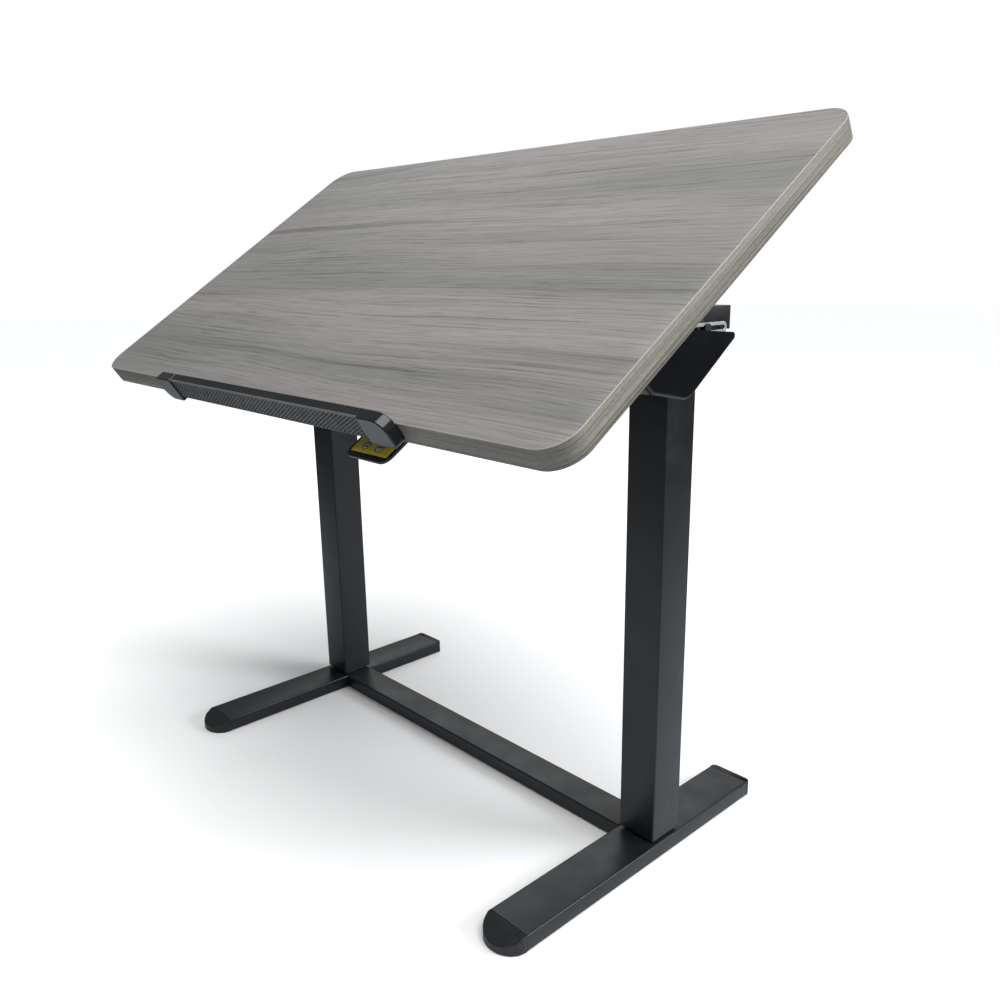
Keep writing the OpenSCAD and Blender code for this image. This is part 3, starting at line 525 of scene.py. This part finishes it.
def build_tubes():
    """Feet, crossbar, columns and rails, each with its long axis, corner radius and wall."""
    for side in ("left", "right"):
        steel_tube(f"foot_tube_{side}", f"foot_{side}", Y, 2.6 * MM, 2 * MM, "frame_paint", "base")
        steel_tube(f"column_tube_{side}", f"outer_column_{side}", Z, 2.2 * MM, 2 * MM, "frame_paint",
                   "upper_frame")
        steel_tube(f"inner_tube_{side}", f"inner_column_{side}", Z, 2.0 * MM, 1.5 * MM, "inner_paint",
                   "base")
        steel_tube(f"rail_tube_{side}", f"side_rail_{side}", Y, 2.0 * MM, 2 * MM, "frame_paint",
                   "upper_frame")
    steel_tube("crossbar_tube", "crossbar", X, 2.6 * MM, 2 * MM, "frame_paint", "base")


def dress(node, slot, bevel=0.4 * MM, steps=2):
    """Keeps a CAD node, with soft edges and a material."""
    piece = frame["nodes"][node]
    weld = piece.modifiers.new("weld", "WELD")
    weld.merge_threshold = 2e-5
    finish_edges(piece, bevel, steps)
    piece.data.materials.clear()
    piece.data.materials.append(MATERIALS[slot])
    if piece.data.has_custom_normals:
        bpy.context.view_layer.objects.active = piece
        bpy.ops.mesh.customdata_custom_splitnormals_clear()


# Side view of the saddle tray, counter-clockwise: y from the column, z, millimetres.
SADDLE = [(-60, 647), (12, 631.5), (106.5, 704.5), (104, 711), (22, 718.4), (-132, 731.5), (-150, 722)]
SADDLE_RADII = [8, 28, 4.5, 4, 0, 14, 8]


def column_middle(side):
    """Centre of an outer column's box."""
    low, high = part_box(f"outer_column_{side}")
    return (low + high) / 2


def beam_notch(middle):
    """Rear to front corners of the cut for the front beam, in the tray's top edge."""
    low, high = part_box("front_beam")
    inset = 15 * MM
    (rear_y, rear_z), (front_y, front_z) = SADDLE[4], SADDLE[5]
    corners = []
    for y in (high.y - inset - middle.y, low.y + inset - middle.y):
        share = (rear_y - y / MM) / (rear_y - front_y)
        corners.append((y, (rear_z + share * (front_z - rear_z)) * MM))
    (rear, rear_edge), (front, front_edge) = corners
    return [(rear, rear_edge), (rear, low.z), (front, low.z), (front, front_edge)]


def build_saddle(side, sign):
    """Pressed tray: two flat sides and a floor, joined by round bends, open at the top."""
    low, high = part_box(f"saddle_{side}")
    middle = column_middle(side)
    half = (high.x - low.x) / 2
    outline = [(y * MM, z * MM) for y, z in fillet(SADDLE, SADDLE_RADII)]
    # The floor runs from the last point of the last corner, through the first two corners, to the
    # first point of the third.
    floor_count = 2 * (CORNER_STEPS + 1) + 2
    outline = outline[-1:] + outline[:-1]
    floor, rim = outline[:floor_count], outline[floor_count:]
    notch = beam_notch(middle)
    cut_at = next(i for i, (y, z) in enumerate(rim) if y < notch[-1][0])
    notched = rim[:cut_at] + notch + rim[cut_at:]
    points = []
    loops = []
    for edge_sign in (1, -1):
        ring = floor + (notched if edge_sign * sign < 0 else rim)
        loops.append(range(len(points), len(points) + len(ring)))
        points += [(middle.x + edge_sign * half, middle.y + y, z) for y, z in ring]
    faces = [tuple(loops[0]), tuple(reversed(loops[1]))]
    for i in range(len(floor) - 1):
        a, b = loops[0][i], loops[1][i]
        faces.append((a, a + 1, b + 1, b))
    piece = add_piece(f"saddle_tray_{side}", points, faces, "tray_paint", "upper_frame",
                      (f"saddle_{side}",))
    bend = piece.modifiers.new("bends", "BEVEL")
    bend.width = 5.5 * MM
    bend.segments = 6
    bend.limit_method = "ANGLE"
    bend.angle_limit = math.radians(60)
    bend.use_clamp_overlap = False
    sheet = piece.modifiers.new("sheet", "SOLIDIFY")
    sheet.thickness = 2.5 * MM
    sheet.offset = -1
    sharp = piece.modifiers.new("creases", "BEVEL")
    sharp.width = 0.4 * MM
    sharp.segments = 2
    sharp.limit_method = "ANGLE"
    sharp.angle_limit = math.radians(50)
    sharp.harden_normals = True


# ---------------------------------------------------------------- top

def build_top():
    """Board, laminate and edge band, drawn in the top's own frame."""
    low, high = top_box("edge_band")
    board_low, board_high = top_box("desktop_board")
    radius = 38 * MM
    band = board_low.x - low.x
    steps = 28
    round_over = 1.1 * MM

    def ring(inset, height):
        outline = rounded_rect(low.x + inset, low.y + inset, high.x - inset, high.y - inset,
                               radius - inset, steps)
        return [(x, y, height) for x, y in outline]

    soft = [(round_over * (1 - math.cos(math.radians(a))), round_over * (1 - math.sin(math.radians(a))))
            for a in (0, 30, 60, 90)]
    loops = [ring(i, low.z + d) for i, d in reversed(soft)]
    loops += [ring(i, high.z - d) for i, d in soft]
    loops += [ring(band, high.z), ring(band, low.z)]
    points, faces = loft(loops, closed=True)
    add_piece("edge_band_ply", points, faces, "band", "top", ("edge_band",), place=TOP_FRAME)

    seam = 0.12 * MM
    points, faces = loft([ring(band + seam, board_high.z), ring(band + seam, high.z - 0.05 * MM),
                          ring(band + 2 * seam, high.z)])
    add_piece("laminate_sheet", points, faces, "laminate", "top", ("top_laminate",), place=TOP_FRAME)

    points, faces = loft([ring(band, board_low.z), ring(band, board_high.z)])
    add_piece("board_panel", points, faces, "board_core", "top", ("desktop_board",), place=TOP_FRAME)


RIB_PITCH = 8.6 * MM
RIB_DEPTH = 0.9 * MM
# Shares of the pitch: a whole groove, and each of its sloping sides.
GROOVE_SHARE = 0.38
SLOPE_SHARE = 0.08


def ribbed(name, across, direction, span, slant, slot):
    """A face of the ledge with grooves across it, as a slab between two lines.

    across holds the start and end of the face in (v, n), direction points out of it, and span
    is its x range. slant is how far a groove runs in x for each unit across the face.
    """
    start, end = Vector(across[0]), Vector(across[1])
    out = Vector(direction)
    width = (end - start).length
    rows = 16
    edges = [0.0, SLOPE_SHARE, GROOVE_SHARE - SLOPE_SHARE, GROOVE_SHARE]
    stations = []
    count = int((span[1] - span[0] + abs(slant) * width) / RIB_PITCH) + 2
    for k in range(-2, count):
        for edge, depth in zip(edges, (0, 1, 1, 0)):
            stations.append((k + edge, depth))
    points = []
    for station, depth in stations:
        for r in range(rows + 1):
            share = r / rows
            sunk = RIB_DEPTH * depth if 0 < r < rows else 0
            spot = start.lerp(end, share) - out * sunk
            x = span[0] + station * RIB_PITCH + slant * (share * width) - max(slant, 0) * width
            points.append((min(max(x, span[0]), span[1]), spot.x, spot.y))
    size = rows + 1
    faces = []
    for i in range(len(stations) - 1):
        for r in range(rows):
            a = i * size + r
            faces.append((a, a + size, a + size + 1, a + 1))
    piece = add_piece(name, points, faces, slot, "top", place=TOP_FRAME)
    for polygon in piece.data.polygons:
        polygon.use_smooth = False


def ledge_bar(name, section, span, slot, replaced=()):
    """A straight bar along the ledge, with its section in (v, n)."""
    points, faces = loft([[(x, v, n) for v, n in section] for x in span])
    add_piece(name, points, faces, slot, "top", replaced, place=TOP_FRAME, bevel=0.35 * MM)


def build_ledge():
    """Rail with a ribbed grip on its front and top, and plain metal lips along the edges; the top front lip is a
    metal ridge painted light grey as a painted highlight.
    """
    low, high = top_box("ledge_strip")
    span = (low.x, high.x)
    front, back, bottom, top = low.y, high.y, low.z, high.z
    lip = 0.9 * MM
    chamfer = 1.1 * MM
    sunk = 1.0 * MM
    core_chamfer = 1.4 * MM
    core_bottom = bottom + 0.3 * MM
    core = [(front + sunk, core_bottom), (back, core_bottom), (back, top - sunk),
            (front + sunk + core_chamfer, top - sunk), (front + sunk, top - sunk - core_chamfer)]
    ledge_bar("ledge_core", core, span, "top_grip", ("ledge_strip",))
    # Metal ridge along the top front edge, painted lighter grey than the rest of the rail: a painted highlight on
    # the edge.
    ridge = [(front, top - lip - chamfer), (front + lip, top - lip - chamfer),
             (front + lip + chamfer, top - lip), (front + lip + chamfer, top), (front + chamfer, top),
             (front, top - chamfer)]
    ledge_bar("ledge_ridge", ridge, span, "ridge_metal")
    foot_back, foot_top = front + 1.6 * MM, bottom + lip
    foot = [(front, bottom), (foot_back, bottom), (foot_back, foot_top), (front, foot_top)]
    ledge_bar("ledge_lip_low", foot, span, "ledge_metal")
    rear_bottom = top - 1.2 * MM
    rear = [(back - lip, rear_bottom), (back, rear_bottom), (back, top), (back - lip, top)]
    ledge_bar("ledge_lip_rear", rear, span, "ledge_metal")
    skin = 0.1 * MM
    front_face = ((front + skin, foot_top), (front + skin, top - lip - chamfer))
    ribbed("ledge_ribs_front", front_face, (-1, 0), span, 2.0, "grip")
    top_face = ((front + lip + chamfer, top - skin), (back - lip, top - skin))
    ribbed("ledge_ribs_top", top_face, (0, 1), span, 0.6, "top_grip")


def build_ledge_cap(side, sign):
    """Moulded end cap, a groove away from the strip, with one large round corner.

    That corner is at the top on the right and at the bottom on the left.
    """
    low, high = top_box(f"ledge_cap_{side}")
    inner_x, outer_x = (low.x, high.x) if sign > 0 else (high.x, low.x)
    big, small, groove = 20 * MM, 5 * MM, 1.0 * MM
    inner_x += sign * groove
    outline = [(inner_x, low.z), (outer_x, low.z), (outer_x, high.z), (inner_x, high.z)]
    radii = [0, small, big, 0] if sign > 0 else [0, big, small, 0]
    if sign < 0:
        outline.reverse()
        radii.reverse()
    outline = fillet(outline, radii, 14)
    points, faces = loft([[(x, v, n) for x, n in outline] for v in (high.y, low.y)])
    add_piece(f"ledge_end_{side}", points, faces, "cap_gloss", "top", (f"ledge_cap_{side}",), place=TOP_FRAME,
              bevel=1.8 * MM, steps=4, angle=40)


# ---------------------------------------------------------------- label

def disc(name, centre, radius, hole, height, slot):
    """Flat ring or disc lying on the label."""
    steps = 40
    rim = [(math.cos(2 * math.pi * k / steps), math.sin(2 * math.pi * k / steps)) for k in range(steps)]
    base, top = centre[2], centre[2] + height
    outer = [[(centre[0] + radius * x, centre[1] + radius * y, z) for x, y in rim] for z in (base, top)]
    if hole:
        inner = [[(centre[0] + hole * x, centre[1] + hole * y, z) for x, y in rim] for z in (top, base)]
        points, faces = loft(outer + inner, closed=True)
    else:
        points, faces = loft(outer)
    add_piece(name, points, faces, slot, "paddle", place=TOP_FRAME)


def build_label():
    """Yellow film with two plain round pictograms: a low bar and a high bar."""
    low, high = top_box("paddle_label")
    outline = rounded_rect(low.x, low.y, high.x, high.y, 2 * MM, 6)
    points, faces = loft([[(x, y, z) for x, y in outline] for z in (low.z, high.z)])
    add_piece("label_film", points, faces, "label", "paddle", ("paddle_label",), place=TOP_FRAME)
    thin = 0.15 * MM
    radius = 6.6 * MM
    for number, share in enumerate((0.30, 0.66)):
        centre = Vector((low.x + share * (high.x - low.x), low.y + 11 * MM, high.z))
        disc(f"pictogram_ring_{number}", centre, radius, radius * 0.86, thin, "paddle_plastic")
        disc(f"pictogram_face_{number}", centre, radius * 0.84, 0, thin * 0.7, "slide_plastic")
        half_w, half_d = radius * 0.5, radius * 0.13
        middle = centre.y + (0.22 if number else -0.22) * radius
        box = [(centre.x - half_w, middle - half_d), (centre.x + half_w, middle - half_d),
               (centre.x + half_w, middle + half_d), (centre.x - half_w, middle + half_d)]
        points, faces = loft([[(x, y, z) for x, y in box] for z in (high.z, high.z + thin)])
        add_piece(f"pictogram_bar_{number}", points, faces, "paddle_plastic", "paddle", place=TOP_FRAME)


# ---------------------------------------------------------------- cables

# The routes repeat those of the CAD tubes, millimetres: under the top in the top's frame, and on
# the frame with y from the column centre line.
DESK_ROUTE = [(229, -163, 6), (229, -150, 6), (229, -122, 12), (229, -98, 22), (229, -72, 25),
              (229, -48, 22), (230, -26, 11), (235, -9, 2.5), (242, -1, 0.3), (248, 0, 0), (257, 0, 0)]
FRAME_ROUTE = [(261, -124, 717.5), (276, -124, 717.5), (290, -122, 716), (303, -112, 708),
               (310, -96, 698), (312, -80, 693), (312, -66, 692)]


def spline(points, steps):
    """Catmull-Rom curve through the points."""
    curve = []
    for i in range(len(points) - 1):
        p0, p1 = points[max(i - 1, 0)], points[i]
        p2, p3 = points[i + 1], points[min(i + 2, len(points) - 1)]
        ends_here = i == len(points) - 2
        for k in range(steps + 1 if ends_here else steps):
            t = k / steps
            curve.append(0.5 * (2 * p1 + (p2 - p0) * t + (2 * p0 - 5 * p1 + 4 * p2 - p3) * t * t
                                + (3 * p1 - p0 - 3 * p2 + p3) * t ** 3))
    return curve


def build_cable(name, route, node, body, place=None):
    """A round cable along a route, its rings turned as little as possible from one to the next."""
    radius = 2.5 * MM
    sides = 16
    turns = [2 * math.pi * k / sides for k in range(sides)]
    path = spline([Vector(p) for p in route], 8)
    loops = []
    starts_along_x = abs((path[1] - path[0]).normalized().x) > 0.8
    side = Vector((0, 1, 0)) if starts_along_x else Vector((1, 0, 0))
    for i, spot in enumerate(path):
        along = (path[min(i + 1, len(path) - 1)] - path[max(i - 1, 0)]).normalized()
        side = (side - along * side.dot(along)).normalized()
        up = along.cross(side)
        loops.append([spot + radius * (side * math.cos(t) + up * math.sin(t)) for t in turns])
    points, faces = loft(loops)
    add_piece(name, points, faces, "cable_jacket", body, (node,), place=place)


def build_cables():
    """The run under the top and the run on the frame, which meet on the tilt axis."""
    under_top = [(x * MM, v * MM, n * MM) for x, v, n in DESK_ROUTE]
    build_cable("cable_under_top", under_top, "desk_cable", "top", TOP_FRAME)
    row = column_middle("right").y
    on_frame = [(x * MM, row + y * MM, z * MM) for x, y, z in FRAME_ROUTE]
    build_cable("cable_on_frame", on_frame, "frame_cable", "upper_frame")


# ---------------------------------------------------------------- kept CAD nodes

# CAD nodes that stay visible, by slot.
DRESSED = {
    "black_plastic": ["front_cap_left", "front_cap_right", "rear_cap_left", "rear_cap_right", "rail_end_caps",
                      "cable_clips"],
    "rubber": ["glide_pads", "rest_bumpers"],
    "frame_paint": ["base_plates", "gas_cylinder_left", "gas_cylinder_right", "front_beam", "rear_beam",
                    "hinge_bracket_left", "hinge_bracket_right", "paddle_bracket"],
    "inner_paint": ["stay_arm_left", "stay_arm_right"],
    "guide_zinc": ["slide_guide_left", "slide_guide_right"],
    "zinc": ["crossbar_bolts", "base_plate_bolts", "beam_bolts", "hinge_pins", "cable_adjuster",
             "cable_anchor", "release_shaft", "release_pins", "stay_pivot_pins", "desktop_screws",
             "paddle_pin"],
    "slide_plastic": ["inner_slides", "guide_collars", "shaft_bushes"],
    "rod_chrome": ["gas_rod_left", "gas_rod_right"],
    "cast_block": ["release_block_left", "release_block_right"],
    "ledge_metal": ["ledge_rail"],
    "paddle_plastic": ["release_paddle"],
}
# Bevels in millimetres of the nodes that are rounder than the rest.
SOFTER = {"front_cap_left": 1.4, "front_cap_right": 1.4, "rear_cap_left": 1.2, "rear_cap_right": 1.2,
          "release_paddle": 0.8, "front_beam": 1.4, "rear_beam": 1.4, "slide_guide_left": 0.6,
          "slide_guide_right": 0.6}


add_camera()
add_studio()
make_materials()
build_tubes()
for side, sign in (("left", -1), ("right", 1)):
    build_saddle(side, sign)
    build_ledge_cap(side, sign)
build_top()
build_ledge()
build_label()
build_cables()
for slot, nodes in DRESSED.items():
    for node in nodes:
        dress(node, slot, SOFTER.get(node, 0.3) * MM, 3 if node in SOFTER else 2)
